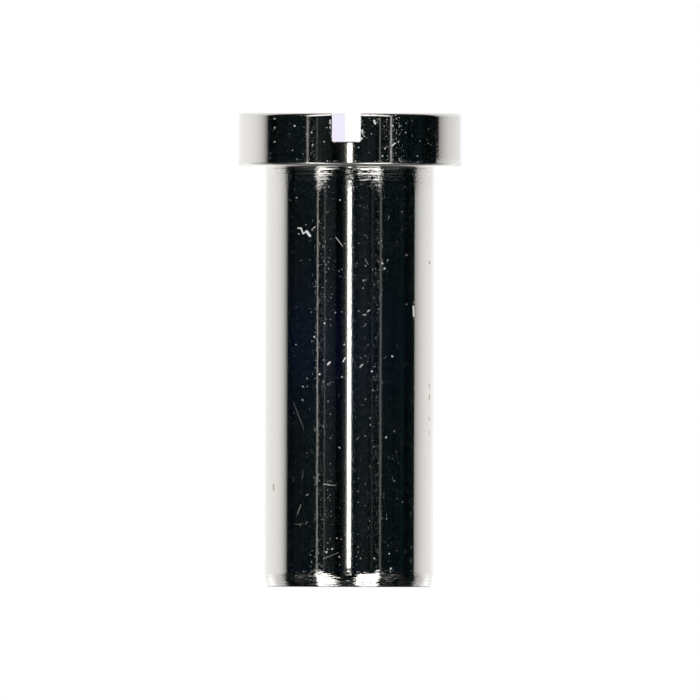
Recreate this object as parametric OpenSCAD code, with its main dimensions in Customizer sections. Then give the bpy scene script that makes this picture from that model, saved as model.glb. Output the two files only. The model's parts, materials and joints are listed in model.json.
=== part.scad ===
// Watch case screw: a slotted cheese head on a plain round shank, which is bored and
// tapped from the tip to take a matching screw. The piece stands on its tip, head up,
// with the origin at the centre of the tip's face and the driver slot along Y.

/* [Head] */
// Diameter of the cheese head
head_d = 2.65; // [2.3:0.05:3.2]
// Height of the cheese head
head_h = 0.63; // [0.5:0.01:0.9]
// Rounding of the head's upper and lower rims
head_rim_r = 0.04; // [0.01:0.005:0.08]

/* [Driver slot] */
// Width of the driver slot
slot_w = 0.34; // [0.2:0.01:0.6]
// Depth of the driver slot below the top of the head
slot_depth = 0.34; // [0.2:0.01:0.45]
// Rounding of the slot's upper edges
slot_edge_r = 0.02; // [0.01:0.005:0.06]
// Rounding of the corners along the slot's floor
slot_floor_r = 0.02; // [0.01:0.005:0.08]
// Sideways offset of the sawn slot from the axis
slot_offset = 0.035; // [0:0.005:0.1]

/* [Shank] */
// Diameter of the plain shank
shank_d = 2; // [1.7:0.05:2.3]
// Length of the shank under the head
shank_l = 5; // [4.6:0.1:8]
// Fillet where the shank meets the head
neck_r = 0.02; // [0.01:0.005:0.1]

/* [Tip] */
// Height of the rounded lead-in at the tip
lead_in_h = 0.2; // [0.05:0.01:0.3]
// Radius of the lead-in's curve, which runs smoothly into the shank
lead_in_r = 0.6; // [0.35:0.05:1.5]

/* [Tapped bore] */
// Diameter of the bore, which is the thread's inner diameter
bore_d = 0.95; // [0.7:0.05:1.1]
// Depth of the bore at full diameter
bore_depth = 4.3; // [2:0.1:4.6]
// Angle of the drill's point at the end of the bore
drill_angle = 118; // [90:1:140]
// Diameter of the countersink at the bore's mouth
mouth_d = 1.25; // [1.15:0.05:1.6]
// Angle of the countersink at the bore's mouth
mouth_angle = 90; // [60:5:120]

/* [Hidden] */
$fn = 96;

// How far cuts and joined outlines pass each other
overlap = 0.02;

head_r = head_d / 2;
shank_r = shank_d / 2;
overall_l = shank_l + head_h;

bore_r = bore_d / 2;
mouth_r = mouth_d / 2;
mouth_slope = tan(mouth_angle / 2);
mouth_h = (mouth_r - bore_r) / mouth_slope;
point_h = bore_r / tan(drill_angle / 2);

// What a round of radius r leaves of a square corner that points along +X and +Y
module corner(r) {
    difference() {
        square(r + overlap);
        circle(r);
    }
}

// Half section of the shank with its lead-in, and the fillet under the head
module shank_section() {
    difference() {
        square([shank_r, shank_l + overlap]);
        translate([shank_r - lead_in_r, lead_in_h])
            mirror([0, 1])
                corner(lead_in_r);
    }
    translate([shank_r + neck_r, shank_l - neck_r])
        mirror([1, 0])
            corner(neck_r);
}

// Half section of the head with both rims rounded
module head_section() {
    translate([0, shank_l])
        difference() {
            square([head_r, head_h]);
            translate([head_r - head_rim_r, head_h - head_rim_r])
                corner(head_rim_r);
            translate([head_r - head_rim_r, head_rim_r])
                mirror([0, 1])
                    corner(head_rim_r);
        }
}

// Half section of the blind bore: countersunk mouth, straight wall and drill point
module bore_section() {
    polygon([
        [0, -overlap],
        [mouth_r + overlap * mouth_slope, -overlap],
        [bore_r, mouth_h],
        [bore_r, bore_depth],
        [0, bore_depth + point_h]
    ]);
}

// Outline of the slot seen along it, with its mouth at Y = 0
module slot_outline() {
    difference() {
        union() {
            translate([-slot_w / 2, -slot_depth])
                square([slot_w, slot_depth + overlap]);
            for (side = [0, 1])
                mirror([side, 0])
                    translate([slot_w / 2 + slot_edge_r, -slot_edge_r])
                        mirror([1, 0])
                            corner(slot_edge_r);
        }
        for (side = [0, 1])
            mirror([side, 0])
                translate([slot_w / 2 - slot_floor_r, slot_floor_r - slot_depth])
                    mirror([0, 1])
                        corner(slot_floor_r);
    }
}

// The saw cut across the whole head
module driver_slot() {
    translate([slot_offset, 0, overall_l])
        rotate([90, 0, 0])
            linear_extrude(head_d + 2 * overlap, center = true)
                slot_outline();
}

// The whole screw, turned from one bar and then slotted
module case_screw() {
    color("lightgray")
        difference() {
            rotate_extrude()
                difference() {
                    union() {
                        shank_section();
                        head_section();
                    }
                    bore_section();
                }
            driver_slot();
        }
}

case_screw();
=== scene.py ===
"""Watch case screw: the finished screw as geometry and shaders, and the studio that it stands in.

Lengths are in metres, in the frame of the CAD part: the screw stands on its tip at the origin,
head up, with its driver slot along Y.
"""

import json
import math
import random

import bmesh
import bpy
import numpy as np
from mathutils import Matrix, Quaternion, Vector


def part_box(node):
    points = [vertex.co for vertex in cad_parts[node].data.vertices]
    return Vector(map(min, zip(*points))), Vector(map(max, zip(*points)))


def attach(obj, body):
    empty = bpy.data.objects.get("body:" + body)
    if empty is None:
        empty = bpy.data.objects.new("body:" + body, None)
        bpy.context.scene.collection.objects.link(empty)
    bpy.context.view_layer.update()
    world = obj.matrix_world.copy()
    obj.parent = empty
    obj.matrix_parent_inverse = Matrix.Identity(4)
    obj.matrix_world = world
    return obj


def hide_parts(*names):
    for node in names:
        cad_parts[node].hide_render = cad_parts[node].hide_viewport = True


bl_info = {
    "name": "Watch Case Screw",
    "version": (1, 0, 0),
    "blender": (4, 5, 0),
    "location": "3D View > Sidebar > Case Screw",
    "description": "Builds a polished watch case screw and the small studio that it stands in",
    "category": "Add Mesh",
}

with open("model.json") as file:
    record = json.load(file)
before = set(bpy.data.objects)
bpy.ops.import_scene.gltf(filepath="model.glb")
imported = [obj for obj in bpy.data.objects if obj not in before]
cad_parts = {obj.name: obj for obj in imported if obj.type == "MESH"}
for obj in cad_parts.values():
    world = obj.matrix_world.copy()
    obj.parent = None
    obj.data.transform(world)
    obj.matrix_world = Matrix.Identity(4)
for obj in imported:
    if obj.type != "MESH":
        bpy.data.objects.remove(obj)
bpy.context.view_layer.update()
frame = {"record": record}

MM = 1e-3
MICRON = 1e-6

# What the frame says of the screw
LOW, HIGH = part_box("case_screw")
MOUNTS = {mount["name"]: mount for mount in frame["record"]["mounts"]}
SHANK_R = MOUNTS["shank"]["dims"]["r_mm"] * MM
BORE_R = MOUNTS["tapped_bore"]["dims"]["r_mm"] * MM
SEAT_Z = MOUNTS["head_seat"]["pos_m"][2]
SLOT_X = MOUNTS["driver_slot"]["pos_m"][0]
SLOT_FLOOR_Z = MOUNTS["driver_slot"]["pos_m"][2]
STEEL_COLOUR = frame["record"]["materials"][0]["base_color"]

# Columns round the screw: the arc on each side of the slot, and the gap at each of its ends
RIGHT_ARC_STEPS = 162
LEFT_ARC_STEPS = 168
FLOOR_STEPS = 7
FILLET_STEPS = 4
GAP_STEPS = FLOOR_STEPS + 2 * FILLET_STEPS
COLUMNS_PER_BORE_COLUMN = 3

# Rows along the turned profile, and steps across a broken edge
EDGE_STEPS = 4
RIM_STEPS = 9
LEAD_IN_STEPS = 32
SHANK_STEPS = 24
NECK_MARK_STEPS = 54
PLAIN_STEPS = 4
FACE_STEPS = 4
WALL_STEPS = 30
THREAD_STEPS_PER_TURN = 12

# Steps round the stage's floor and round its dim band
STAGE_FLOOR_STEPS = 96
BAND_STEPS = 48

# Seed of the unevenness of the broken edges at the slot's ends
BURR_SEED = 7

# Half the flat at the thread's crest and at its root, as shares of its pitch
THREAD_CREST = 1 / 8
THREAD_ROOT = 1 / 16

# The turning marks' pitches, as shares of the main one, which never fall together
MARK_STRETCHES = (1, 1.618, 0.737)

# Heights of the fine rings: those under the head as a multiple of the turning marks' height, and
# the shares of the lead-in's height where those at the tip set in and are complete
NECK_RINGS = 2
TIP_RINGS = (1.2, 0.7)

# Worn part of the head's rims, as shares of their rounding: how far it reaches, what the upper rim
# keeps just below the top, and how soft its edges are at the lower and at the upper rim
RIM_WORN = 0.9
RIM_KEPT = 0.1
RIM_SOFT = (0.1, 0.05)

# Values of the noise between which the film of dust, the haze of the polish, the dark room's patches
# and the dim things in it set in, and how bright a patch is at most
FILM_FROM = (0.5, 0.85)
HAZE_FROM = (0.45, 0.75)
MOTTLE_FROM = (0.3, 0.7)
CLUTTER_FROM = (0.5, 0.75)
MOTTLE_MOST = 2

# How steeply the lamp's halo and the glow beside it fall off
HALO_FALL = 3
GLOW_FALL = 2

# How far to each side, as a sine, the backdrop's left edge gives way to its right edge
SIDE_BLEND = 0.5

# Share of a mark's half width within which it has its full strength
MARK_CORE = 0.5

# Pale marks on the side towards the camera, in millimetres: fibres and grains of dust, and painted light:
# the faint lines along some scratches and the short marks at the slot's edges are painted glints, and the
# two long upright lines on the head are painted reflections. Each gives how far to the right of the axis and
# up from the tip it lies at each end, then half the width and how strong the mark is
LINT_AND_GLINTS = (
    (-0.612, 4.260, -0.577, 4.261, 0.010, 1.0),
    (-0.577, 4.261, -0.562, 4.219, 0.010, 1.0),
    (-0.562, 4.219, -0.552, 4.195, 0.010, 1.0),
    (-0.552, 4.195, -0.515, 4.222, 0.009, 1.0),
    (-0.510, 4.222, -0.473, 4.171, 0.019, 1.0),
    (-0.452, 4.235, -0.426, 4.267, 0.005, 0.5),
    (-0.426, 4.270, -0.414, 4.271, 0.006, 0.8),
    # A painted glint: a faint pale line along a scratch
    (-0.162, 4.151, -0.082, 4.047, 0.005, 0.5),
    (0.185, 3.895, 0.221, 3.830, 0.005, 0.3),
    (0.387, 3.848, 0.392, 3.842, 0.011, 0.8),
    (0.411, 3.777, 0.420, 3.790, 0.009, 0.8),
    (0.760, 3.338, 0.764, 3.218, 0.012, 0.9),
    (0.215, 3.272, 0.239, 3.290, 0.007, 0.8),
    (-0.257, 2.641, -0.230, 2.670, 0.011, 1.0),
    (-0.074, 2.678, -0.049, 2.722, 0.008, 1.0),
    (0.126, 2.610, 0.158, 2.646, 0.007, 0.8),
    # Painted glints: faint pale lines along the scratches
    (-0.663, 2.185, -0.539, 1.876, 0.004, 0.2),
    (-0.563, 1.271, -0.539, 1.378, 0.004, 0.2),
    (-0.304, 1.223, -0.163, 1.205, 0.004, 0.4),
    (-0.613, 0.862, -0.571, 0.975, 0.004, 0.4),
    (-0.646, 0.742, -0.504, 0.751, 0.004, 0.2),
    (-0.300, 0.335, -0.128, 0.407, 0.004, 0.3),
    (0.287, 5.540, 0.300, 5.503, 0.014, 1.0),
    (0.501, 5.243, 0.537, 5.275, 0.009, 1.0),
    # A painted glint at the slot's edge
    (0.147, 5.395, 0.147, 5.425, 0.010, 0.9),
    # Painted reflections: two pale upright lines on the head
    (0.490, 5.060, 0.490, 5.580, 0.014, 0.34),
    (0.358, 5.060, 0.358, 5.580, 0.009, 0.18),
    # Painted glints at the slot's other edge
    (-0.236, 5.545, -0.236, 5.505, 0.009, 0.9),
    (-0.234, 5.470, -0.234, 5.450, 0.008, 0.8),
)
# Single pale grains there, grains of dust and, at the slot's edges, painted glints: to the right of the
# axis, up from the tip, half the width
DUST_AND_GLINTS = (
    (-0.657, 5.475, 0.013),
    (-0.456, 5.399, 0.011),
    (-0.443, 5.249, 0.010),
    (-0.304, 5.287, 0.009),
    (-0.683, 5.187, 0.007),
    # Painted glints at the slot's edge
    (0.148, 5.601, 0.010),
    (0.141, 5.328, 0.013),
    (0.103, 5.220, 0.009),
    (0.416, 5.207, 0.010),
    (0.387, 5.121, 0.010),
    (0.508, 5.478, 0.012),
    (0.576, 5.287, 0.009),
    (0.662, 5.399, 0.007),
    (-0.416, 2.970, 0.012),
    (-0.295, 3.132, 0.013),
    (-0.353, 2.527, 0.013),
    (0.268, 2.562, 0.012),
    (0.510, 2.741, 0.012),
    (0.439, 1.779, 0.011),
    (-0.265, 0.414, 0.014),
    (-0.200, 0.450, 0.011),
    (0.304, 0.340, 0.011),
    (0.480, 0.397, 0.009),
    (0.499, 0.220, 0.015),
)
# Scratches and brown stains, given as the pale marks are
SCRATCHES = (
    (-0.166, 4.153, -0.086, 4.053, 0.004, 0.6),
    (-0.663, 2.185, -0.539, 1.876, 0.004, 0.4),
    (-0.613, 0.862, -0.571, 0.975, 0.004, 0.5),
    (-0.580, 1.140, -0.567, 1.188, 0.004, 0.4),
    (-0.563, 1.271, -0.539, 1.378, 0.004, 0.4),
    (-0.304, 1.223, -0.163, 1.205, 0.004, 0.4),
    (-0.300, 0.335, -0.128, 0.407, 0.004, 0.3),
    (-0.646, 0.742, -0.504, 0.751, 0.004, 0.3),
)
STAINS = (
    (-0.899, 1.215, -0.894, 1.150, 0.014, 0.6),
    (0.949, 3.872, 0.948, 3.838, 0.009, 1.0),
    (0.951, 2.420, 0.951, 2.365, 0.008, 0.7),
    (0.953, 2.290, 0.952, 2.225, 0.009, 0.8),
    (0.950, 2.020, 0.950, 1.980, 0.008, 0.6),
    (0.952, 1.860, 0.953, 1.805, 0.007, 0.5),
)

# Stretches where specks and dust lie closer together, given in the same way: there the crowded pale grains
# are painted glints, at the slot's edges, near the head's underside, on the lead-in and in three long
# upright stretches on the shank
CLUSTERS = (
    (0.139, 5.600, 0.139, 5.310, 0.035, 1.0),
    (-0.235, 5.570, -0.235, 5.330, 0.030, 0.7),
    (0.258, 5.570, 0.320, 5.540, 0.060, 0.9),
    (0.500, 5.540, 0.540, 5.080, 0.140, 0.7),
    (-0.700, 5.045, 0.900, 5.045, 0.030, 1.0),
    (-0.600, 0.170, -0.380, 0.190, 0.030, 0.8),
    (0.360, 0.190, 0.560, 0.200, 0.030, 0.9),
    (-0.330, 0.100, -0.330, 4.900, 0.160, 0.10),
    (-0.150, 0.100, -0.150, 4.900, 0.080, 0.06),
    (0.260, 0.100, 0.260, 4.900, 0.200, 0.03),
)

# Upright strips of light in front, in degrees right of the camera, with half their width and
# brightness, and strips of shade with the share of the dark room's light that they take away
STRIPS = (
    (-70.0, 24.0, 0.0018),
    (-44.6, 1.0, 0.55),
    (-34.2, 1.6, 0.08),
    (-28.0, 12.0, 0.0075),
    (18.7, 12.0, 0.0055),
    (31.5, 1.9, 0.02),
    (43.5, 2.0, 0.135),
)
SHADES = (
    (-86.0, 7.0, 0.8),
    (-15.0, 6.0, 1.0),
    (86.0, 7.0, 0.8),
)


def length(name, description, default):
    """A property that holds a length in metres."""
    return bpy.props.FloatProperty(
        name=name, description=description, default=default, min=0, precision=6, subtype="DISTANCE",
        unit="LENGTH",
    )


def angle(name, description, degrees):
    """A property that holds an angle, with its default given in degrees."""
    return bpy.props.FloatProperty(
        name=name, description=description, default=math.radians(degrees), subtype="ANGLE",
        unit="ROTATION",
    )


def angle_pair(name, description, first, second):
    """A property that holds two angles, with its defaults given in degrees."""
    return bpy.props.FloatVectorProperty(
        name=name, description=description, default=(math.radians(first), math.radians(second)), size=2,
        subtype="EULER", unit="ROTATION",
    )


def length_pair(name, description, first, second):
    """A property that holds two lengths in metres, with its defaults given in millimetres."""
    return bpy.props.FloatVectorProperty(
        name=name, description=description, default=(first * MM, second * MM), size=2, precision=6,
        subtype="XYZ_LENGTH", unit="LENGTH",
    )


def amount(name, description, default):
    """A property that holds a plain number."""
    return bpy.props.FloatProperty(name=name, description=description, default=default, precision=4)


def pair(name, description, first, second):
    """A property that holds two plain numbers."""
    return bpy.props.FloatVectorProperty(
        name=name, description=description, default=(first, second), size=2, precision=4,
    )


def colour(name, description, default):
    """A property that holds a linear colour."""
    return bpy.props.FloatVectorProperty(
        name=name, description=description, default=default, size=3, min=0, subtype="COLOR",
    )


class ScrewSizes(bpy.types.PropertyGroup):
    """Sizes of the screw."""

    head_d: length("Head diameter", "Across the cheese head", round(HIGH.x - LOW.x, 6))
    head_top: length("Top of the head", "Height of the head's top above the tip", round(HIGH.z, 6))
    head_seat: length("Head seat", "Height of the head's underside above the tip", SEAT_Z)
    rim_r: length("Rim rounding", "Rounding of the head's two rims", 0.04 * MM)
    slot_w: length("Slot width", "Width of the driver slot", 0.34 * MM)
    slot_x: length("Slot offset", "How far the slot lies off the axis", SLOT_X)
    slot_floor: length("Slot floor", "Height of the slot's floor above the tip", SLOT_FLOOR_Z)
    slot_edge_r: length("Slot edge", "Rounding of the slot's upper edges", 0.02 * MM)
    slot_floor_r: length("Slot corner", "Rounding of the corners along the slot's floor", 0.02 * MM)
    shank_d: length("Shank diameter", "Across the plain shank", 2 * SHANK_R)
    neck_r: length("Neck fillet", "Fillet where the shank meets the head", 0.008 * MM)
    neck_plain_h: length("Plain neck", "Height of the plain stretch above the marks", 0.02 * MM)
    lead_in_h: length("Lead-in height", "Height of the rounded lead-in at the tip", 0.2 * MM)
    lead_in_r: length("Lead-in radius", "Radius of the lead-in's curve", 0.6 * MM)
    bore_d: length("Bore diameter", "Across the bore, at the thread's crests", 2 * BORE_R)
    bore_depth: length("Bore depth", "Depth of the bore at full diameter", 4.3 * MM)
    drill_angle: angle("Drill angle", "Angle of the drill's point at the end of the bore", 118)
    mouth_d: length("Mouth diameter", "Across the countersink at the bore's mouth", 1.25 * MM)
    mouth_angle: angle("Mouth angle", "Angle of the countersink at the bore's mouth", 90)
    thread_d: length("Thread diameter", "Across the thread's roots", 1.2 * MM)
    thread_pitch: length("Thread pitch", "Rise of the thread in one turn", 0.25 * MM)
    thread_runout: length("Thread runout", "Plain bore left beyond the thread", 0.5 * MM)
    tip_edge: length("Tip edge", "How far the tip's sharp edge is broken", 0.008 * MM)
    slot_burr: length("Slot ends", "How far the edges at the slot's ends are broken", 0.009 * MM)
    burr_spread: amount("Burr spread", "How unevenly the slot's ends are broken", 0.8)
    neck_mark_h: length("Neck marks", "Height of the turning marks under the head", 0.2 * MM)
    mark_pitch: length("Mark pitch", "Distance from one turning mark to the next", 0.024 * MM)
    mark_depth: length_pair("Mark depth", "Depth of the marks under the head and at the tip", 0.0013, 0.001)


class SteelFinish(bpy.types.PropertyGroup):
    """Colours and surface of the polished steel."""

    steel: colour("Steel", "Colour of the polished steel", STEEL_COLOUR)
    stain: colour("Stain", "Colour of the small brown stains", (0.30, 0.20, 0.11))
    # Painted shade: the steel is coloured darker along the tip's lowest edge, standing in for the shadow
    # where the tip meets the floor
    grime: colour("Grime", "Colour of the grime along the tip's edge", (0.17, 0.165, 0.16))
    painted_tip_shade_h: length("Grime height", "How far the grime reaches up from the tip", 0.02 * MM)
    # Pale colour of fibres and dust, also painted on for glints and reflections
    lint: colour("Lint", "Colour of the lint and dust", (0.9, 0.9, 0.9))
    roughness: amount("Roughness", "Roughness of the polish", 0.045)
    scratch_roughness: amount("Scratch roughness", "Roughness inside a scratch", 0.18)
    grain_per_mm: amount("Grain", "Grains of the polish in a millimetre", 52)
    grain_depth: length("Grain depth", "Depth of the grain of the polish", 0.16 * MICRON)
    haze_per_mm: amount("Haze", "Dull grains of the polish in a millimetre", 45)
    haze_roughness: amount("Haze roughness", "Roughness of the dullest grains", 0.15)
    film_per_mm: amount("Film", "Patches of the thin film of dust in a millimetre", 70)
    film: amount("Film cover", "How much of the steel the film of dust covers at most", 0.05)
    ring_per_mm: pair("Rings", "Fine turning rings in a millimetre, under the head and at the tip", 62, 28)
    ring_around: pair("Ring breaks", "Breaks of a ring in a radian, under the head and at the tip", 14, 6)
    ring_depth: length_pair("Ring depth", "Depth of the rings under the head and at the tip", 0.0027, 0.005)
    rim_roughness: pair("Rim roughness", "Roughness of the head's lower and upper rim", 0.28, 0.14)
    speck_per_mm: amount("Specks", "Cells that may hold a speck in a millimetre", 36)
    speck_size: amount("Speck size", "Size of the largest speck as a share of its cell", 0.38)
    speck_share: pair("Speck share", "Share of the cells with a speck, and where they lie closer", 0.05, 0.7)
    speck_slope: amount("Speck slope", "Slope of the sides of the specks", 0.45)
    dust_per_mm: amount("Dust", "Cells that may hold a grain of dust in a millimetre", 60)
    dust_size: amount("Dust size", "Size of the largest grain of dust as a share of its cell", 0.26)
    dust_and_glint_share: pair("Dust share", "Share of the cells with dust, and where it lies closer", 0.022, 1.0)
    scratch_depth: length("Scratch depth", "Depth of the scratches", 0.6 * MICRON)


class Studio(bpy.types.PropertyGroup):
    """Camera, floor and overhead light of the studio."""

    camera_turn: angle("Camera turn", "Turn of the camera round the screw, from -Y towards +X", 3.4)
    camera_lean: angle("Camera lean", "How far the screw leans to the right in the picture", 0.15)
    camera_distance: length("Camera distance", "Distance from the camera to the screw", 280 * MM)
    picture_width: length("Picture width", "Width that the picture takes in", 8.314 * MM)
    aim_height: length("Aim height", "Height above the tip at the middle of the picture", 2.815 * MM)
    aim_side: length("Aim side", "How far the picture's middle lies right of the axis", 0.0077 * MM)
    floor_r: length("Floor radius", "Radius of the floor", 90 * MM)
    floor: colour("Floor", "Colour of the floor", (0.9, 0.9, 0.9))
    overhead: amount("Overhead light", "Strength of the soft light over the floor", 1.9)
    overhead_spread: angle("Overhead spread", "How wide the soft light over the floor is", 60)


class Backdrop(bpy.types.PropertyGroup):
    """The white backdrop behind and beside the screw, and the card that narrows it for the head."""

    white: colour("White", "Colour of the backdrop", (1.0, 1.0, 1.0))
    lilac: colour("Lilac", "Colour of its middle, straight behind the screw", (0.88, 0.85, 1.0))
    lilac_from: angle_pair("Lilac edge", "Angles where its middle begins and is complete", 166, 172)
    lilac_fade: angle("Lilac fade", "How far to the right that colour takes to set in", 4)
    edge: angle_pair("Edge", "Angle from the camera where it begins, left and right", 94.1, 101.3)
    fade: angle_pair("Fade", "How slowly it brightens from its edge, left and right", 9.5, 14)
    start: amount("Start", "Brightness at its right edge", 0.33)
    level: amount("Level", "Brightness of the backdrop", 1.07)
    low_from: angle_pair("Low part", "Angles below the level where that begins and is complete", 2, 8)
    low_gain: pair("Low gain", "How much brighter its low part is, at the sides and behind", -0.15, 0.35)
    low_shift: angle("Low shift", "How much further round the edge of its low part lies", 5)
    behind: angle_pair("Behind", "Angles from the camera where its sides end and its back begins", 120, 140)
    back_loss: amount("Back loss", "How much of the low gain is lost again at the very back", 0.28)
    back_from: angle_pair("Very back", "Angles where that loss begins and is complete", 146, 153)
    card_turn: angle("Card turn", "Angle from the camera at which the head's card stands", 105)
    card_distance: length("Card distance", "Distance of the head's card from the axis", 30 * MM)
    card_h: length("Card height", "Height of the head's card", 2.5 * MM)
    card_reach: length_pair("Card reach", "How far the card reaches towards the camera and away", 5, 42)
    card_edge: length("Card edge", "How far its dark part ends before its middle", 0.75 * MM)
    card_light: pair("Card light", "Share of light that passes beside its dark part and far off", 0.56, 0.9)
    card_fade: length("Card fade", "How slowly the card clears from its dark part", 4.5 * MM)


class FrontLight(bpy.types.PropertyGroup):
    """The dark room on the camera's side, and the lights in it."""

    dark: colour("Dark", "Colour of the dark room", (0.0017, 0.0052, 0.0059))
    mottle_scale: amount("Mottle scale", "Darker patches across one radian of the room", 30)
    clutter: colour("Clutter", "Colour of the dim things round the room", (0.045, 0.044, 0.042))
    clutter_scale: amount("Clutter scale", "Dim things across one radian of the room", 4)
    table: amount("Table light", "Brightness of the table under the screw", 0.12)
    table_edge: angle_pair("Table edge", "Angles below the level where the table begins", 33, 44)
    panel_inner: angle_pair("Panel inner edge", "Angle to the left and right where a panel begins", 11, 7)
    panel_outer: angle_pair("Panel outer edge", "Angle to the left and right where a panel ends", 46, 43)
    panel_low: angle_pair("Panel near edges", "Angles below and above where the panels begin", 6.5, 14)
    panel_high: angle_pair("Panel far edges", "Angles below and above where the panels end", 34, 72)
    panel_flare: angle_pair("Panel flare", "Angles to the side between which its near edge flares", 30, 42)
    panel_nearest: amount("Panel nearest", "Share of the near edge's angle left where it has flared", 0.25)
    panel_fade: angle("Panel fade", "How far it takes a panel to reach its full brightness", 4)
    panel_draw: pair("Panel draw", "How much further out its inner edge starts, left and right", 1.7, 0.8)
    panel_turn: angle("Panel turn", "How far it takes a panel's inner edge to draw in", 36)
    panel_soft: angle("Panel softness", "How soft the panels' sides are", 1.5)
    panel_level: pair("Panel level", "Brightness of the panels, below and above the camera", 2.6, 1.6)
    shelf: angle_pair("Shelf", "Angles below the level between which a dim shelf shows", 10.5, 13)
    shelf_soft: angle("Shelf softness", "How soft the shelf's edges are", 0.75)
    shelf_end: angle("Shelf end", "Angle to the side at which the shelf ends", 88)
    shelf_level: amount("Shelf level", "Brightness of the dim shelf", 0.5)
    lamp_side: angle("Lamp side", "Angle of the small front lamp left of the camera", 0.1)
    lamp_spread: angle("Lamp spread", "Half the angle that the front lamp fills", 2.4)
    lamp_soft: angle("Lamp softness", "How soft the front lamp's edge is", 0.5)
    lamp_level: amount("Lamp level", "Brightness of the front lamp", 2.6)
    halo_level: amount("Halo level", "Brightness of the halo round the front lamp", 0.4)
    halo_spread: angle("Halo spread", "Half the angle that the halo fills", 8)
    glow: colour("Lamp glow", "Colour of the glow left of the front lamp", (0.085, 0.075, 0.063))
    glow_reach: angle_pair("Glow reach", "How far the glow reaches to the left, and up and down", 12, 6)
    band: colour("Band", "Colour of the dim band round the camera's side", (0.0006, 0.0018, 0.0112))
    band_r: length("Band radius", "Radius of the dim band", 40 * MM)
    band_z: length("Band height", "Height of the middle of the dim band", 2.87 * MM)
    band_reach: length("Band reach", "How far the dim band reaches up and down from its middle", 1.3 * MM)
    band_fade: length_pair("Band fade", "How far right it fades out, and how far left it is full", 72, 16)


class Surface:
    """Points and faces of one closed surface, gathered row by row."""

    def __init__(self):
        self.points = []
        self.faces = []

    def row(self, points):
        """Add a row of points and return their numbers."""
        first = len(self.points)
        self.points.extend(points)
        return list(range(first, len(self.points)))

    def ring(self, radii, angles, height):
        """Add a ring of points at one height, with a radius for each angle."""
        return self.row(
            [(r * math.cos(a), r * math.sin(a), height) for r, a in zip(radii, angles)]
        )

    def bridge(self, lower, upper, closed=False):
        """Join two rows of as many points with four-sided faces."""
        count = len(lower)
        for here in range(count if closed else count - 1):
            after = (here + 1) % count
            self.faces.append((lower[here], lower[after], upper[after], upper[here]))


def spread(start, end, steps):
    """Evenly spaced values from start to end, both included."""
    return [start + (end - start) * step / steps for step in range(steps + 1)]


def arc(centre, radius, start, end, steps):
    """Points of an arc in the plane of radius and height, from one angle in degrees to another."""
    turns = [math.radians(turn) for turn in spread(start, end, steps)]
    return [(centre[0] + radius * math.cos(t), centre[1] + radius * math.sin(t)) for t in turns]


def broken_edge(start, corner, end, steps=EDGE_STEPS):
    """Points of the curve that breaks a sharp corner, from start to end."""
    start, corner, end = Vector(start), Vector(corner), Vector(end)
    return [
        tuple(start.lerp(corner, t).lerp(corner.lerp(end, t), t)) for t in spread(0, 1, steps)
    ]


def turning_mark(sizes, deepest, height, plain, marked):
    """Depth of the turning marks at a height, growing from the plain end of their stretch."""
    fade = min(max((height - plain) / (marked - plain), 0), 1)
    waves = [
        math.sin(2 * math.pi * height / (sizes.mark_pitch * stretch)) for stretch in MARK_STRETCHES
    ]
    return deepest * fade * (1 + sum(waves) / len(waves))


def outer_profile(sizes):
    """Radius and height of the turned outside, from the edge of the tip to the head's lower rim."""
    shank_r = sizes.shank_d / 2
    neck_marks, tip_marks = sizes.mark_depth
    lead_centre = (shank_r - sizes.lead_in_r, sizes.lead_in_h)
    lead_angle = math.degrees(math.asin(sizes.lead_in_h / sizes.lead_in_r))
    edge_angle = lead_angle - math.degrees(sizes.tip_edge / sizes.lead_in_r)
    lead_in = arc(lead_centre, sizes.lead_in_r, -edge_angle, 0, LEAD_IN_STEPS)
    tip = arc(lead_centre, sizes.lead_in_r, -lead_angle, 0, 1)[0]
    rows = broken_edge((tip[0] - sizes.tip_edge, 0, 0), (tip[0], 0, 0), (*lead_in[0], 0))
    rows = [(radius, height) for radius, height, _ in rows]
    rows += [
        (radius - turning_mark(sizes, tip_marks, height, sizes.lead_in_h, 0), height)
        for radius, height in lead_in[1:]
    ]

    neck = sizes.head_seat - sizes.neck_r
    marks_to = sizes.head_seat - sizes.neck_plain_h
    marks_from = marks_to - sizes.neck_mark_h
    rows += [(shank_r, height) for height in spread(sizes.lead_in_h, marks_from, SHANK_STEPS)[1:]]
    rows += [
        (shank_r - turning_mark(sizes, neck_marks, height, marks_from, marks_to), height)
        for height in spread(marks_from, marks_to, NECK_MARK_STEPS)[1:]
    ]
    neck_r = rows[-1][0]
    rows += [(neck_r, height) for height in spread(marks_to, neck, PLAIN_STEPS)[1:-1]]
    rows += arc((neck_r + sizes.neck_r, neck), sizes.neck_r, 180, 90, FILLET_STEPS)

    rim_centre = (sizes.head_d / 2 - sizes.rim_r, sizes.head_seat + sizes.rim_r)
    rows += [
        (radius, sizes.head_seat) for radius in spread(rows[-1][0], rim_centre[0], FACE_STEPS)[1:]
    ]
    rows += arc(rim_centre, sizes.rim_r, -90, 0, RIM_STEPS)[1:]
    below_slot = sizes.slot_floor - 2 * sizes.slot_burr
    rows += [
        (sizes.head_d / 2, height) for height in spread(rows[-1][1], below_slot, FACE_STEPS)[1:]
    ]
    return rows


def head_radius(sizes, height):
    """Radius of the head at a height between its slot's floor and its top."""
    rise = max(height - (sizes.head_top - sizes.rim_r), 0)
    return sizes.head_d / 2 - sizes.rim_r + math.sqrt(max(sizes.rim_r**2 - rise**2, 0))


def slot_wall(sizes, height, side):
    """Where a wall of the slot lies along X at a height, with its rounded upper edge."""
    rise = max(height - (sizes.head_top - sizes.slot_edge_r), 0)
    flare = sizes.slot_edge_r - math.sqrt(max(sizes.slot_edge_r**2 - rise**2, 0))
    return sizes.slot_x + side * (sizes.slot_w / 2 + flare)


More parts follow.
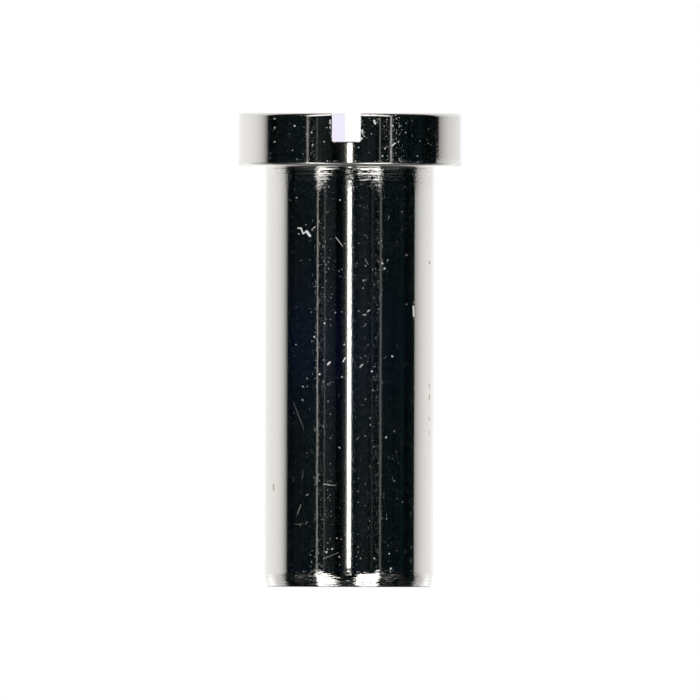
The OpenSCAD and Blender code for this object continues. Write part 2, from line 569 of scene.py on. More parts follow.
def slot_stations(sizes):
    """The slot's outline as (x, height, x and height of the direction into the steel).

    It runs from the top of the right wall down, across the floor and up the left wall.
    """
    foot = sizes.slot_floor + sizes.slot_floor_r
    shoulder = sizes.head_top - sizes.rim_r
    heights = spread(foot, shoulder, WALL_STEPS)
    heights += [height for _, height in arc((0, shoulder), sizes.rim_r, 0, 90, RIM_STEPS)][1:]
    right = [(slot_wall(sizes, height, 1), height, 1, 0) for height in heights]
    left = [(slot_wall(sizes, height, -1), height, -1, 0) for height in heights]

    inner = sizes.slot_w / 2 - sizes.slot_floor_r
    corners = []
    for side, start, end in ((1, 0, -90), (-1, -90, -180)):
        centre = (sizes.slot_x + side * inner, foot)
        points = arc(centre, sizes.slot_floor_r, start, end, FILLET_STEPS)
        directions = arc((0, 0), 1, start, end, FILLET_STEPS)
        corners.append([(*point, *into) for point, into in zip(points, directions)])
    floor = [
        (x, sizes.slot_floor, 0, -1)
        for x in spread(sizes.slot_x + inner, sizes.slot_x - inner, FLOOR_STEPS)
    ]
    return right[::-1] + corners[0][1:] + floor[1:-1] + corners[1][:-1] + left


def slot_end(sizes, surface, stations, end, dice):
    """Rows across the broken edge where the slot runs out, from the head's wall into the slot."""
    rows = []
    for x, height, into_x, into_z in stations:
        burr = sizes.slot_burr * (1 + sizes.burr_spread * dice.uniform(-1, 1))
        corner_y = end * math.sqrt(head_radius(sizes, height) ** 2 - x**2)
        outer_x, outer_z = x + burr * into_x, height + burr * into_z
        outer_y = end * math.sqrt(head_radius(sizes, outer_z) ** 2 - outer_x**2)
        rows.append(surface.row(broken_edge(
            (outer_x, outer_y, outer_z), (x, corner_y, height), (x, corner_y - end * burr, height),
        )))
    return rows


def post_rows(sizes, surface, starts, ends, turns, steps):
    """Rows round the head from one end of the slot to the other, one for each height of its wall."""
    rows = []
    for start, end in zip(starts, ends):
        x, y, height = surface.points[start]
        x_end, y_end, _ = surface.points[end]
        radius = head_radius(sizes, height)
        angles = spread(math.atan2(y, x), math.atan2(y_end, x_end) + turns * 2 * math.pi, steps)
        inner = angles[1:-1]
        rows.append([start] + surface.ring([radius] * len(inner), inner, height) + [end])
    return rows


def slotted_head(sizes, surface):
    """Build the head from its slot's floor up, and return the ring of points that it starts from."""
    dice = random.Random(BURR_SEED)
    stations = slot_stations(sizes)
    wall = WALL_STEPS + RIM_STEPS
    front = slot_end(sizes, surface, stations, -1, dice)
    back = slot_end(sizes, surface, stations, 1, dice)
    for near, far, near_next, far_next in zip(front, back, front[1:], back[1:]):
        surface.bridge(near, near_next)
        surface.bridge(far, far_next)
        surface.faces.append((near[-1], near_next[-1], far_next[-1], far[-1]))

    front_edge = [row[0] for row in front]
    back_edge = [row[0] for row in back]
    right = post_rows(
        sizes, surface, front_edge[wall::-1], back_edge[wall::-1], 0, RIGHT_ARC_STEPS,
    )
    left = post_rows(
        sizes, surface, back_edge[-wall - 1:], front_edge[-wall - 1:], 1, LEFT_ARC_STEPS,
    )
    for post, first, last in ((right, front[0], back[0]), (left, back[-1], front[-1])):
        for lower, upper in zip(post, post[1:]):
            surface.bridge(lower, upper)
        surface.faces.append((*post[-1], *last[1:], *reversed(first[1:])))

    gap = slice(wall + 1, wall + GAP_STEPS)
    return right[0] + back_edge[gap] + left[0] + front_edge[gap][::-1]


def thread_radius(sizes, height, angle):
    """Radius of the tapped bore: a right-hand thread that runs out before the end of the bore."""
    turn = (height / sizes.thread_pitch - angle / (2 * math.pi)) % 1
    slope = 0.5 - THREAD_CREST - THREAD_ROOT
    groove = min(max((0.5 - THREAD_CREST - abs(turn - 0.5)) / slope, 0), 1)
    runout = (sizes.bore_depth - sizes.thread_runout - height) / sizes.thread_pitch
    groove *= min(max(runout, 0), 1)
    cut = sizes.bore_d / 2 + groove * (sizes.thread_d - sizes.bore_d) / 2
    countersink = sizes.mouth_d / 2 - height * math.tan(sizes.mouth_angle / 2)
    return max(cut, countersink)


def tapped_bore(sizes, surface, angles):
    """Build the bore from the drill's point down, and return the ring of points at its mouth."""
    point_h = sizes.bore_d / 2 / math.tan(sizes.drill_angle / 2)
    apex = surface.row([(0, 0, sizes.bore_depth + point_h)])[0]
    steps = round(sizes.bore_depth / sizes.thread_pitch * THREAD_STEPS_PER_TURN)
    lower = None
    for height in spread(sizes.bore_depth, 0, steps):
        radii = [thread_radius(sizes, height, turn) for turn in angles]
        upper, lower = lower, surface.ring(radii, angles, height)
        if upper is None:
            surface.faces += [
                (apex, here, after) for here, after in zip(lower, lower[1:] + lower[:1])
            ]
        else:
            surface.bridge(upper, lower, closed=True)
    return lower


def screw_surface(sizes):
    """The whole screw as one closed surface."""
    surface = Surface()
    top_ring = slotted_head(sizes, surface)
    angles = [math.atan2(surface.points[p][1], surface.points[p][0]) for p in top_ring]
    rings = [
        surface.ring([radius] * len(angles), angles, height)
        for radius, height in outer_profile(sizes)
    ]
    for lower, upper in zip(rings, rings[1:] + [top_ring]):
        surface.bridge(lower, upper, closed=True)

    share = COLUMNS_PER_BORE_COLUMN
    mouth = tapped_bore(sizes, surface, angles[::share])
    tip = rings[0] + rings[0][:1]
    for column, (here, after) in enumerate(zip(mouth, mouth[1:] + mouth[:1])):
        stretch = tip[column * share:(column + 1) * share + 1]
        surface.faces.append((here, after, *reversed(stretch)))
    return surface


def shade_by_area(mesh):
    """Shade a mesh smoothly, with the normal at each point led by the largest faces there."""
    normals = np.zeros((len(mesh.vertices), 3))
    for face in mesh.polygons:
        normals[list(face.vertices)] += np.array(face.normal) * face.area
    normals /= np.linalg.norm(normals, axis=1, keepdims=True)
    mesh.shade_smooth()
    mesh.normals_split_custom_set_from_vertices(normals)


def mesh_object(name, points, faces):
    """A new mesh object with all its faces turned outwards."""
    mesh = bpy.data.meshes.new(name)
    mesh.from_pydata(points, [], faces)
    form = bmesh.new()
    form.from_mesh(mesh)
    bmesh.ops.recalc_face_normals(form, faces=form.faces)
    form.to_mesh(mesh)
    form.free()
    made = bpy.data.objects.new(name, mesh)
    bpy.context.scene.collection.objects.link(made)
    return made


class Nodes:
    """Short calls that build one node tree."""

    def __init__(self, tree):
        self.tree = tree

    def feed(self, socket, value):
        """Link another node's socket to an input, or set a plain value on it."""
        if isinstance(value, bpy.types.NodeSocket):
            self.tree.links.new(value, socket)
        else:
            socket.default_value = value

    def add(self, kind, inputs=None, **settings):
        """Add a node of one kind, set it up and feed its inputs."""
        node = self.tree.nodes.new(kind)
        for name, value in settings.items():
            setattr(node, name, value)
        for name, value in (inputs or {}).items():
            self.feed(node.inputs[name], value)
        return node

    def math(self, operation, *values):
        """The result of a math operation."""
        node = self.add("ShaderNodeMath", operation=operation)
        for socket, value in zip(node.inputs, values):
            self.feed(socket, value)
        return node.outputs[0]

    def vector(self, operation, *values):
        """The result of a vector operation, a number where it gives one."""
        node = self.add("ShaderNodeVectorMath", operation=operation)
        for socket, value in zip(node.inputs, values):
            self.feed(socket, value)
        return node.outputs["Value" if operation in ("DOT_PRODUCT", "LENGTH") else "Vector"]

    def product(self, first, *others):
        """The product of several numbers."""
        for other in others:
            first = self.math("MULTIPLY", first, other)
        return first

    def noise(self, vector, scale, detail=2, roughness=0.5):
        """The value of a noise with a number of patches in one unit."""
        node = self.add("ShaderNodeTexNoise", {
            "Vector": vector, "Scale": scale, "Detail": detail, "Roughness": roughness,
        })
        return node.outputs["Fac"]

    def part(self, vector, axis):
        """One of the three parts of a vector."""
        return self.add("ShaderNodeSeparateXYZ", {"Vector": vector}).outputs[axis]

    def scale(self, vector, factor):
        """A vector or colour times a number."""
        node = self.add("ShaderNodeVectorMath", {"Vector": vector, "Scale": factor}, operation="SCALE")
        return node.outputs["Vector"]

    def ramp(self, value, start, end):
        """A smooth step from 0 where value is start to 1 where it is end."""
        node = self.add(
            "ShaderNodeMapRange", {"Value": value, "From Min": start, "From Max": end},
            interpolation_type="SMOOTHSTEP",
        )
        return node.outputs["Result"]

    def band(self, value, low, high, soft):
        """A mask that is 1 where value lies between low and high."""
        rise = self.ramp(value, low - soft, low + soft)
        fall = self.ramp(value, high + soft, high - soft)
        return self.math("MULTIPLY", rise, fall)

    def blend(self, factor, first, second):
        """A number between two others."""
        node = self.add("ShaderNodeMix")
        sockets = {socket.identifier: socket for socket in node.inputs}
        self.feed(sockets["Factor_Float"], factor)
        self.feed(sockets["A_Float"], first)
        self.feed(sockets["B_Float"], second)
        return next(s for s in node.outputs if s.identifier == "Result_Float")

    def mix(self, factor, first, second):
        """A colour between two others."""
        node = self.add("ShaderNodeMix", {"Factor": factor}, data_type="RGBA")
        sockets = {socket.identifier: socket for socket in node.inputs}
        self.feed(sockets["A_Color"], first)
        self.feed(sockets["B_Color"], second)
        return next(s for s in node.outputs if s.identifier == "Result_Color")

    def group(self, tree, inputs):
        """Place a node group and feed its inputs."""
        node = self.add("ShaderNodeGroup", node_tree=tree)
        for name, value in inputs.items():
            self.feed(node.inputs[name], value)
        return node.outputs[0]


def opaque(rgb):
    """A colour with full opacity, as a colour socket takes it."""
    return (*rgb, 1)


def empty_nodes(owner):
    """Empty the node tree of a new material or world, and return the calls that fill it."""
    owner.use_nodes = True
    owner.node_tree.nodes.clear()
    return Nodes(owner.node_tree)


def new_group(name, inputs, output):
    """A new shader node group with its sockets, and the calls that fill it."""
    tree = bpy.data.node_groups.new(name, "ShaderNodeTree")
    for label, kind in inputs.items():
        tree.interface.new_socket(label, in_out="INPUT", socket_type=kind)
    tree.interface.new_socket(output, in_out="OUTPUT", socket_type="NodeSocketFloat")
    nodes = Nodes(tree)
    return nodes, nodes.add("NodeGroupInput"), nodes.add("NodeGroupOutput")


def turned_grain_group():
    """Grain of a turned surface, with its own scale along the profile and around the axis."""
    nodes, given, result = new_group(
        "turned_grain",
        {"Point": "NodeSocketVector", "Per Millimetre": "NodeSocketFloat", "Around": "NodeSocketFloat"},
        "Height",
    )
    flat = nodes.vector("MULTIPLY", given.outputs["Point"], (1, 1, 0))
    radius = nodes.vector("LENGTH", flat)
    around = nodes.scale(nodes.vector("NORMALIZE", flat), given.outputs["Around"])
    along = nodes.math("ADD", nodes.part(given.outputs["Point"], "Z"), radius)
    along = nodes.math("MULTIPLY", along, given.outputs["Per Millimetre"])
    upright = nodes.add("ShaderNodeCombineXYZ", {"Z": along}).outputs["Vector"]
    grain = nodes.noise(nodes.vector("ADD", around, upright), 1, roughness=0.6)
    nodes.feed(result.inputs["Height"], grain)
    return nodes.tree


def scatter_group():
    """Scattered specks: a few of the cells hold one, each a cone of its own size."""
    nodes, given, result = new_group(
        "scatter",
        {
            "Point": "NodeSocketVector", "Per Millimetre": "NodeSocketFloat",
            "Size": "NodeSocketFloat", "Share": "NodeSocketFloat",
        },
        "Depth",
    )
    cells = nodes.add(
        "ShaderNodeTexVoronoi",
        {"Vector": given.outputs["Point"], "Scale": given.outputs["Per Millimetre"]},
    )
    chance = nodes.add("ShaderNodeSeparateColor", {"Color": cells.outputs["Color"]})
    there = nodes.math("LESS_THAN", chance.outputs["Red"], given.outputs["Share"])
    size = nodes.math("MULTIPLY", chance.outputs["Green"], given.outputs["Size"])
    cone = nodes.math("MAXIMUM", nodes.math("SUBTRACT", size, cells.outputs["Distance"]), 0)
    cone = nodes.math("DIVIDE", cone, given.outputs["Per Millimetre"])
    nodes.feed(result.inputs["Depth"], nodes.math("MULTIPLY", there, cone))
    return nodes.tree


def mark_group():
    """A straight mark between two points on the side that faces -Y, seen along Y."""
    nodes, given, result = new_group(
        "mark",
        {
            "Point": "NodeSocketVector", "Start": "NodeSocketVector", "End": "NodeSocketVector",
            "Half Width": "NodeSocketFloat", "Strength": "NodeSocketFloat",
        },
        "Mask",
    )
    seen = nodes.vector("MULTIPLY", given.outputs["Point"], (1, 0, 1))
    from_start = nodes.vector("SUBTRACT", seen, given.outputs["Start"])
    line = nodes.vector("SUBTRACT", given.outputs["End"], given.outputs["Start"])
    share = nodes.math(
        "DIVIDE", nodes.vector("DOT_PRODUCT", from_start, line), nodes.vector("DOT_PRODUCT", line, line),
    )
    share = nodes.math("MINIMUM", nodes.math("MAXIMUM", share, 0), 1)
    off = nodes.vector("LENGTH", nodes.vector("SUBTRACT", from_start, nodes.scale(line, share)))
    core = nodes.math("MULTIPLY", given.outputs["Half Width"], MARK_CORE)
    mark = nodes.ramp(off, given.outputs["Half Width"], core)
    in_front = nodes.math("LESS_THAN", nodes.part(given.outputs["Point"], "Y"), 0)
    nodes.feed(result.inputs["Mask"], nodes.product(mark, in_front, given.outputs["Strength"]))
    return nodes.tree


def bumped(nodes, height, depth, normal):
    """A normal bent by a height, of which 1 stands for a depth in metres, sunk by a negative one."""
    inputs = {"Height": height, "Strength": 1, "Distance": abs(depth)}
    if normal is not None:
        inputs["Normal"] = normal
    return nodes.add("ShaderNodeBump", inputs, invert=depth < 0).outputs["Normal"]


def marks(nodes, tree, point, table):
    """A mask of all the marks in a table."""
    mask = None
    for x, z, x_end, z_end, half_width, strength in table:
        mark = nodes.group(tree, {
            "Point": point, "Start": (x, 0, z), "End": (x_end, 0, z_end),
            "Half Width": half_width, "Strength": strength,
        })
        mask = mark if mask is None else nodes.math("MAXIMUM", mask, mark)
    return mask


def turning_rings(nodes, point, height, sizes, finish):
    """Fine rings left by the turning: those under the head and those on the lead-in."""
    tree = turned_grain_group()
    neck_rings, tip_rings = [
        nodes.group(tree, {"Point": point, "Per Millimetre": per_mm, "Around": breaks})
        for per_mm, breaks in zip(finish.ring_per_mm, finish.ring_around)
    ]
    neck = (sizes.head_seat - sizes.neck_plain_h) / MM
    at_neck = nodes.ramp(height, neck - NECK_RINGS * sizes.neck_mark_h / MM, neck)
    below_neck = nodes.math("LESS_THAN", height, neck)
    at_tip = nodes.ramp(height, *(share * sizes.lead_in_h / MM for share in TIP_RINGS))
    return nodes.product(neck_rings, at_neck, below_neck), nodes.product(tip_rings, at_tip)


def worn_rims(nodes, height, sizes):
    """Masks of the worn lower and upper rim of the head."""
    rim_r, seat, top = sizes.rim_r / MM, sizes.head_seat / MM, sizes.head_top / MM
    low_soft, high_soft = RIM_SOFT
    lower = nodes.band(height, seat, seat + RIM_WORN * rim_r, low_soft * rim_r)
    upper = nodes.band(height, top - RIM_WORN * rim_r, top - RIM_KEPT * rim_r, high_soft * rim_r)
    return lower, upper


def polished_steel(sizes, finish, studio):
    """Polished steel with faint grain, turning rings, specks, dust, scratches, stains and pale fibres, with
    painted glints and painted reflections among its pale marks and a painted shade along the tip's edge.
    """
    material = bpy.data.materials.new("polished_steel")
    nodes = empty_nodes(material)
    place = nodes.add("ShaderNodeTexCoord").outputs["Object"]
    point = nodes.scale(place, 1 / MM)
    facing = nodes.add(
        "ShaderNodeVectorRotate", {"Vector": point, "Angle": -studio.camera_turn}, rotation_type="Z_AXIS",
    ).outputs["Vector"]
    height = nodes.part(point, "Z")

    mark_tree = mark_group()
    # Pale marks: fibres and dust, among them painted glints and painted reflections
    pale_marks = LINT_AND_GLINTS + tuple((x, z, x, z, half, 1) for x, z, half in DUST_AND_GLINTS)
    clusters, scratches, stains, lint = [
        marks(nodes, mark_tree, facing, table) for table in (CLUSTERS, SCRATCHES, STAINS, pale_marks)
    ]
    scatter_tree = scatter_group()
    specks = nodes.group(scatter_tree, {
        "Point": point, "Per Millimetre": finish.speck_per_mm, "Size": finish.speck_size,
        "Share": nodes.blend(clusters, *finish.speck_share),
    })
    # Scattered pale grains: dust, and where the stretches crowd them, painted glints
    dust = nodes.group(scatter_tree, {
        "Point": point, "Per Millimetre": finish.dust_per_mm, "Size": finish.dust_size,
        "Share": nodes.blend(clusters, *finish.dust_and_glint_share),
    })
    film = nodes.ramp(nodes.noise(point, finish.film_per_mm), *FILM_FROM)
    for cover in (nodes.math("GREATER_THAN", dust, 0), nodes.product(film, finish.film)):
        lint = nodes.math("MAXIMUM", lint, cover)

    grain = nodes.noise(point, finish.grain_per_mm, detail=1)
    rings = turning_rings(nodes, point, height, sizes, finish)
    normal = None
    for relief, depth in (
        (grain, finish.grain_depth), *zip(rings, finish.ring_depth),
        (specks, -finish.speck_slope * MM), (scratches, -finish.scratch_depth),
    ):
        normal = bumped(nodes, relief, depth, normal)

    haze = nodes.ramp(nodes.noise(point, finish.haze_per_mm), *HAZE_FROM)
    rough = nodes.blend(haze, finish.roughness, finish.haze_roughness)
    for rim, roughness in zip(worn_rims(nodes, height, sizes), finish.rim_roughness):
        rough = nodes.blend(rim, rough, roughness)
    dull = nodes.math("MAXIMUM", scratches, nodes.math("MAXIMUM", stains, lint))
    rough = nodes.blend(dull, rough, finish.scratch_roughness)
    tint = nodes.mix(stains, opaque(finish.steel), opaque(finish.stain))
    # Painted shade: the steel turns darker towards the tip's edge, for the shadow where it stands on the
    # floor
    tint = nodes.mix(nodes.ramp(height, finish.painted_tip_shade_h / MM, 0), tint, opaque(finish.grime))
    # The pale marks, painted glints and reflections among them, are a pale non-metal over the steel
    shader = nodes.add("ShaderNodeBsdfPrincipled", {
        "Base Color": nodes.mix(lint, tint, opaque(finish.lint)),
        "Metallic": nodes.math("SUBTRACT", 1, lint), "Roughness": rough, "Normal": normal,
    })
    nodes.add("ShaderNodeOutputMaterial", {"Surface": shader.outputs["BSDF"]})
    return material


def camera_axes(studio):
    """Unit vectors from the screw towards the camera and to the right of its picture."""
    turn = studio.camera_turn
    return Vector((math.sin(turn), -math.cos(turn), 0)), Vector((math.cos(turn), math.sin(turn), 0))


class Gaze:
    """Where a direction from the screw points, as the camera sees it."""

    def __init__(self, nodes, studio):
        toward, right = camera_axes(studio)
        self.direction = nodes.add("ShaderNodeTexCoord").outputs["Generated"]
        forward = nodes.vector("DOT_PRODUCT", self.direction, toward)
        upward = nodes.vector("DOT_PRODUCT", self.direction, (0, 0, 1))
        self.sideways = nodes.vector("DOT_PRODUCT", self.direction, right)
        self.side = nodes.math("ARCTAN2", self.sideways, forward)
        self.rise = nodes.math("ARCSINE", upward)
        self.off_axis = nodes.math("ARCCOSINE", forward)
        self.across = nodes.math("ABSOLUTE", self.side)
        self.up_or_down = nodes.math("ABSOLUTE", self.rise)


def backdrop_light(nodes, gaze, backdrop):
    """Brightness of the backdrop, and a mask of the room in front of it."""
    to_right = nodes.ramp(gaze.sideways, -SIDE_BLEND, SIDE_BLEND)
    low_from, low_to = backdrop.low_from
    low = nodes.ramp(gaze.rise, -low_from, -low_to)
    edge = nodes.math("MULTIPLY_ADD", low, backdrop.low_shift, nodes.blend(to_right, *backdrop.edge))
    past = nodes.math("SUBTRACT", gaze.off_axis, edge)
    fade = nodes.math("DIVIDE", past, nodes.blend(to_right, *backdrop.fade))
    short = nodes.math("EXPONENT", nodes.math("MULTIPLY", fade, -1))
    level = nodes.blend(short, backdrop.level, nodes.math("MULTIPLY", to_right, backdrop.start))
    gain = nodes.blend(nodes.ramp(gaze.off_axis, *backdrop.behind), *backdrop.low_gain)
    back = nodes.ramp(gaze.off_axis, *backdrop.back_from)
    gain = nodes.math("MULTIPLY_ADD", back, -backdrop.back_loss, gain)
    there = nodes.math("GREATER_THAN", past, 0)
    level = nodes.product(level, there, nodes.math("MULTIPLY_ADD", low, gain, 1))
    return level, nodes.math("LESS_THAN", past, 0)


def panel_light(nodes, gaze, front, in_front):
    """Brightness of the panels and the shelf beside them, and a mask of what lies past the near edges."""
    soft = front.panel_soft
    up = nodes.math("GREATER_THAN", gaze.rise, 0)
    on_right = nodes.math("GREATER_THAN", gaze.sideways, 0)
    flare = nodes.blend(nodes.ramp(gaze.across, *front.panel_flare), 1, front.panel_nearest)
    near_edge = nodes.math("MULTIPLY", nodes.blend(up, *front.panel_low), flare)
    past_near = nodes.math("SUBTRACT", gaze.up_or_down, near_edge)
    near = nodes.ramp(past_near, 0, front.panel_fade)
    far = nodes.math("LESS_THAN", gaze.up_or_down, nodes.blend(up, *front.panel_high))
    draw = nodes.blend(on_right, *front.panel_draw)
    drawn_in = nodes.math("MULTIPLY_ADD", nodes.ramp(past_near, front.panel_turn, 0), draw, 1)
    inner = nodes.math("MULTIPLY", nodes.blend(on_right, *front.panel_inner), drawn_in)
    past_inner = nodes.math("SUBTRACT", gaze.across, inner)
    past_outer = nodes.math("SUBTRACT", gaze.across, nodes.blend(on_right, *front.panel_outer))
    panels = nodes.product(
        nodes.ramp(past_inner, -soft, soft), nodes.ramp(past_outer, soft, -soft), near, far, in_front,
        nodes.blend(up, *front.panel_level),
    )
    shelf_high, shelf_low = front.shelf
    shelf = nodes.product(
        nodes.band(gaze.rise, -shelf_low, -shelf_high, front.shelf_soft),
        nodes.ramp(past_outer, -soft, soft),
        nodes.ramp(gaze.across, front.shelf_end, front.panel_outer[0]), front.shelf_level,
    )
    return nodes.math("ADD", panels, shelf), near


def lamp_light(nodes, gaze, studio, front):
    """Brightness of the small front lamp and its halo."""
    toward, right = camera_axes(studio)
    axis = toward * math.cos(front.lamp_side) - right * math.sin(front.lamp_side)
    off = nodes.math("ARCCOSINE", nodes.vector("DOT_PRODUCT", gaze.direction, axis))
    lamp = nodes.ramp(off, front.lamp_spread + front.lamp_soft, front.lamp_spread - front.lamp_soft)
    halo = nodes.math("POWER", nodes.ramp(off, front.halo_spread, 0), HALO_FALL)
    halo = nodes.math("MULTIPLY", halo, front.halo_level)
    return nodes.math("MULTIPLY_ADD", lamp, front.lamp_level, halo)


def upright_strip(nodes, gaze, place, half, strength):
    """How strongly an upright strip shows, with its place and half its width given in degrees."""
    off = nodes.math("ABSOLUTE", nodes.math("SUBTRACT", gaze.side, math.radians(place)))
    return nodes.math("MULTIPLY", nodes.ramp(off, math.radians(half), 0), strength)


def dark_room(nodes, gaze, front, open_to_clutter):
    """Colour of the dark room: mottled, with a glow beside the lamp and dim things round it."""
    patches = nodes.noise(gaze.direction, front.mottle_scale)
    mottle = nodes.math("MULTIPLY", nodes.ramp(patches, *MOTTLE_FROM), MOTTLE_MOST)
    for shade in SHADES:
        left = nodes.math("SUBTRACT", 1, upright_strip(nodes, gaze, *shade))
        mottle = nodes.math("MULTIPLY", mottle, left)
    glow_side, glow_up = front.glow_reach
    glow = nodes.math("POWER", nodes.ramp(gaze.side, -glow_side, -front.lamp_spread), GLOW_FALL)
    glow = nodes.product(
        glow, nodes.math("LESS_THAN", gaze.side, 0), nodes.ramp(gaze.up_or_down, glow_up, 0), mottle,
    )
    things = nodes.noise(gaze.direction, front.clutter_scale, detail=3)
    clutter = nodes.math("MULTIPLY", nodes.ramp(things, *CLUTTER_FROM), open_to_clutter)
    room = nodes.scale(tuple(front.dark), mottle)
    for tint, mask in ((front.glow, glow), (front.clutter, clutter)):
        room = nodes.vector("ADD", room, nodes.scale(tuple(tint), mask))
    return room


def studio_light(studio, backdrop, front):
    """The studio around the screw, by direction: a white backdrop, a dark front, panels and a lamp."""
    world = bpy.data.worlds.new("studio")
    nodes = empty_nodes(world)
    gaze = Gaze(nodes, studio)

    level, in_front = backdrop_light(nodes, gaze, backdrop)
    panels, past_near = panel_light(nodes, gaze, front, in_front)
    table_from, table_to = front.table_edge
    table = nodes.math("MULTIPLY", nodes.ramp(gaze.rise, -table_from, -table_to), front.table)
    level = nodes.math("MAXIMUM", nodes.math("ADD", level, panels), table)
    for strip in STRIPS:
        level = nodes.math("ADD", level, upright_strip(nodes, gaze, *strip))
    level = nodes.math("ADD", level, lamp_light(nodes, gaze, studio, front))

    middle = nodes.math(
        "MULTIPLY", nodes.ramp(gaze.off_axis, *backdrop.lilac_from),
        nodes.ramp(gaze.sideways, 0, math.sin(backdrop.lilac_fade)),
    )
    pale = nodes.mix(middle, opaque(backdrop.white), opaque(backdrop.lilac))
    room = dark_room(nodes, gaze, front, nodes.math("MULTIPLY", past_near, in_front))
    light = nodes.vector("ADD", nodes.scale(pale, level), room)
    seen = nodes.add("ShaderNodeLightPath").outputs["Is Camera Ray"]
    shown = nodes.mix(seen, light, opaque(backdrop.white))
    background = nodes.add("ShaderNodeBackground", {"Color": shown})
    nodes.add("ShaderNodeOutputWorld", {"Surface": background.outputs["Background"]})
    return world


def studio_floor(studio):
    """A plain pale floor under the screw."""
    rim = spread(0, 2 * math.pi, STAGE_FLOOR_STEPS)[:-1]
    points = [(studio.floor_r * math.cos(a), studio.floor_r * math.sin(a), 0) for a in rim]
    floor = mesh_object("floor", points, [tuple(range(len(points)))])
    material = bpy.data.materials.new("floor")
    material.use_nodes = True
    shader = material.node_tree.nodes["Principled BSDF"]
    shader.inputs["Base Color"].default_value = opaque(studio.floor)
    shader.inputs["Roughness"].default_value = 1
    shader.inputs["Specular IOR Level"].default_value = 0
    floor.data.materials.append(material)
    floor.visible_glossy = False


def card(name, points, faces):
    """A card of the stage that only the steel shows, and the calls that fill its material."""
    made = mesh_object(name, points, faces)
    material = bpy.data.materials.new(name)
    made.data.materials.append(material)
    made.visible_camera = False
    made.visible_diffuse = False
    return made, empty_nodes(material)


def head_card(sizes, studio, backdrop):
    """A graduated card at the head's height: for the head alone, the backdrop begins further round."""
    toward, right = camera_axes(studio)
    away = toward * math.cos(backdrop.card_turn) + right * math.sin(backdrop.card_turn)
    near, far = backdrop.card_reach
    corners = ((-near, 0), (far, 0), (far, backdrop.card_h), (-near, backdrop.card_h))
    made, nodes = card("head_card", [(along, 0, rise) for along, rise in corners], [(0, 1, 2, 3)])
    made.location = away * backdrop.card_distance + Vector((0, 0, sizes.head_seat))
    made.rotation_euler.z = math.atan2(away.y, away.x) + math.pi / 2

    place = nodes.add("ShaderNodeTexCoord").outputs["Object"]
    past = nodes.math("ADD", nodes.part(place, "X"), backdrop.card_edge)
    beside, beyond = backdrop.card_light
    short = nodes.math("EXPONENT", nodes.math("DIVIDE", past, -backdrop.card_fade))
    clear = nodes.product(nodes.blend(short, beyond, beside), nodes.math("GREATER_THAN", past, 0))
    shader = nodes.add("ShaderNodeBsdfTransparent", {"Color": clear})
    nodes.add("ShaderNodeOutputMaterial", {"Surface": shader.outputs["BSDF"]})


def dim_band(studio, front):
    """A dim band round the camera's side at half the screw's height, clear but for its own light."""
    toward, right = camera_axes(studio)
    turns = spread(-math.pi / 2, math.pi / 2, BAND_STEPS)
    spots = [(toward * math.cos(turn) + right * math.sin(turn)) * front.band_r for turn in turns]
    surface = Surface()
    rows = [
        surface.row([(spot.x, spot.y, height) for spot in spots])
        for height in (front.band_z - front.band_reach, front.band_z + front.band_reach)
    ]
    surface.bridge(*rows)
    _, nodes = card("dim_band", surface.points, surface.faces)

    place = nodes.add("ShaderNodeTexCoord").outputs["Object"]
    off = nodes.math("ABSOLUTE", nodes.math("SUBTRACT", nodes.part(place, "Z"), front.band_z))
    ends, full = front.band_fade
    fade = nodes.ramp(nodes.vector("DOT_PRODUCT", place, right), ends, -full)
    light = nodes.add("ShaderNodeEmission", {
        "Color": opaque(front.band),
        "Strength": nodes.math("MULTIPLY", nodes.ramp(off, front.band_reach, 0), fade),
    })
    clear = nodes.add("ShaderNodeBsdfTransparent")
    both = nodes.add("ShaderNodeAddShader")
    for socket, shader in zip(both.inputs, (light.outputs["Emission"], clear.outputs["BSDF"])):
        nodes.feed(socket, shader)
    nodes.add("ShaderNodeOutputMaterial", {"Surface": both.outputs["Shader"]})


def overhead_light(studio):
    """A wide soft light over the floor, which gives the screw its shadow."""
    light = bpy.data.lights.new("overhead", "SUN")
    light.energy = studio.overhead
    light.angle = studio.overhead_spread
    lamp = bpy.data.objects.new("overhead", light)
    lamp.visible_glossy = False
    bpy.context.scene.collection.objects.link(lamp)


def studio_camera(studio):
    """A level camera that shows the screw without perspective."""
    toward, right = camera_axes(studio)
    lens = bpy.data.cameras.new("camera")
    lens.type = "ORTHO"
    lens.ortho_scale = studio.picture_width
    camera = bpy.data.objects.new("camera", lens)
    aim = Vector((0, 0, studio.aim_height)) + right * studio.aim_side
    camera.location = aim + toward * studio.camera_distance
    level = (-toward).to_track_quat("-Z", "Y")
    camera.rotation_mode = "QUATERNION"
    camera.rotation_quaternion = level @ Quaternion((0, 0, 1), studio.camera_lean)
    bpy.context.scene.collection.objects.link(camera)
    bpy.context.scene.camera = camera


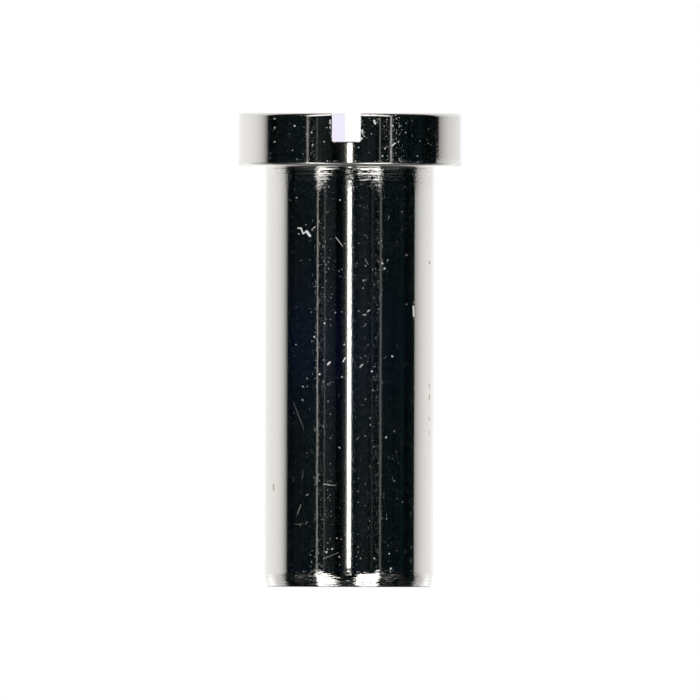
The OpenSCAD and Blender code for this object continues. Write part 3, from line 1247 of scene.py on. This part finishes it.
class CASESCREW_OT_add_screw(bpy.types.Operator):
    """Build the polished screw over its CAD part"""

    bl_idname = "case_screw.add_screw"
    bl_label = "Add Screw"

    def execute(self, context):
        scene = context.scene
        surface = screw_surface(scene.screw_sizes)
        screw = mesh_object("finished_screw", surface.points, surface.faces)
        shade_by_area(screw.data)
        screw.data.materials.append(
            polished_steel(scene.screw_sizes, scene.steel_finish, scene.screw_studio)
        )
        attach(screw, "root")
        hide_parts("case_screw")
        return {"FINISHED"}


class CASESCREW_OT_add_stage(bpy.types.Operator):
    """Build the floor, the light and the camera"""

    bl_idname = "case_screw.add_stage"
    bl_label = "Add Stage"

    def execute(self, context):
        scene = context.scene
        studio, backdrop, front = scene.screw_studio, scene.screw_backdrop, scene.screw_front
        scene.view_settings.view_transform = "Standard"
        scene.world = studio_light(studio, backdrop, front)
        studio_floor(studio)
        head_card(scene.screw_sizes, studio, backdrop)
        dim_band(studio, front)
        overhead_light(studio)
        studio_camera(studio)
        return {"FINISHED"}


class CASESCREW_PT_sidebar(bpy.types.Panel):
    """Steps and settings of the case screw"""

    bl_label = "Case Screw"
    bl_space_type = "VIEW_3D"
    bl_region_type = "UI"
    bl_category = "Case Screw"

    def draw(self, context):
        for operator in OPERATORS:
            self.layout.operator(operator.bl_idname)
        for group in SETTINGS:
            settings = getattr(context.scene, group)
            box = self.layout.box()
            for name in settings.__annotations__:
                box.prop(settings, name)


SETTINGS = {
    "screw_sizes": ScrewSizes, "steel_finish": SteelFinish, "screw_studio": Studio,
    "screw_backdrop": Backdrop, "screw_front": FrontLight,
}
OPERATORS = (CASESCREW_OT_add_screw, CASESCREW_OT_add_stage)
CLASSES = (*SETTINGS.values(), *OPERATORS, CASESCREW_PT_sidebar)


def register():
    """Register the classes and keep their settings on the scene."""
    for cls in CLASSES:
        bpy.utils.register_class(cls)
    for name, group in SETTINGS.items():
        setattr(bpy.types.Scene, name, bpy.props.PointerProperty(type=group))


def unregister():
    """Take the settings and the classes away again."""
    for name in SETTINGS:
        delattr(bpy.types.Scene, name)
    for cls in reversed(CLASSES):
        bpy.utils.unregister_class(cls)


def main():
    """Build the screw and its stage."""
    register()
    bpy.ops.case_screw.add_screw()
    bpy.ops.case_screw.add_stage()


if __name__ == "__main__":
    main()
